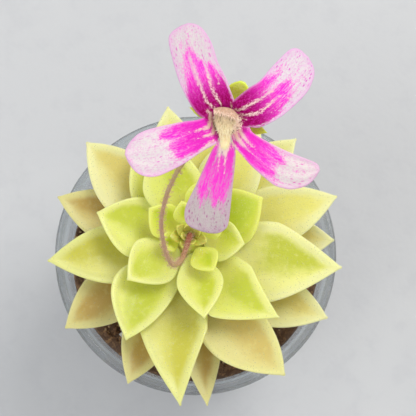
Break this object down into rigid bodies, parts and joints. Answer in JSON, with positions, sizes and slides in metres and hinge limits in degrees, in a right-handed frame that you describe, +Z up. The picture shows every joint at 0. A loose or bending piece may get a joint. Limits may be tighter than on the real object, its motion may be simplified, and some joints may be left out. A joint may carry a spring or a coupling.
{
  "type": "potted butterwort",
  "caption": "Small round clear pot with a flat rosette of pointed succulent leaves and one tall thin stalk carrying a five-lobed pink and white flower.",
  "frame": {"origin": "middle of the pot's flat underside", "axes": "+Z up through the pot, +X to the right of the picture, +Y towards the top of the picture"},
  "size_m": [0.056, 0.0594, 0.1416],
  "materials": {
    "pot": "clear, slightly smoky",
    "potting_mix": "gritty, damp",
    "crown": "matt",
    "leaf_old": "waxy, faintly sticky",
    "leaf_outer": "waxy, faintly sticky",
    "leaf_inner": "waxy, faintly sticky",
    "scape": "matt, finely hairy",
    "calyx": "matt, finely hairy",
    "corolla": "soft petal",
    "palate": "hairy",
    "stigma": "soft petal"
  },
  "bodies": {
    "root": {"pot": "pot", "potting_mix": "potting_mix", "crown": "crown", "leaf_01": "leaf_old", "leaf_02": "leaf_old", "leaf_03": "leaf_old", "leaf_04": "leaf_old", "leaf_05": "leaf_old", "leaf_06": "leaf_old", "leaf_07": "leaf_old", "leaf_08": "leaf_old", "leaf_09": "leaf_outer", "leaf_10": "leaf_outer", "leaf_11": "leaf_outer", "leaf_12": "leaf_outer", "leaf_13": "leaf_outer", "leaf_14": "leaf_outer", "leaf_15": "leaf_outer", "leaf_16": "leaf_outer", "leaf_17": "leaf_outer", "leaf_18": "leaf_inner", "leaf_19": "leaf_inner", "leaf_20": "leaf_inner", "leaf_21": "leaf_inner", "leaf_22": "leaf_inner", "leaf_23": "leaf_inner", "leaf_24": "leaf_inner", "leaf_25": "leaf_inner", "leaf_26": "leaf_inner", "leaf_27": "leaf_inner", "leaf_28": "leaf_inner", "leaf_29": "leaf_inner", "leaf_30": "leaf_inner", "leaf_31": "leaf_inner", "scape": "scape", "calyx": "calyx", "corolla": "corolla", "palate": "palate", "stigma": "stigma"}
  },
  "joints": []
}
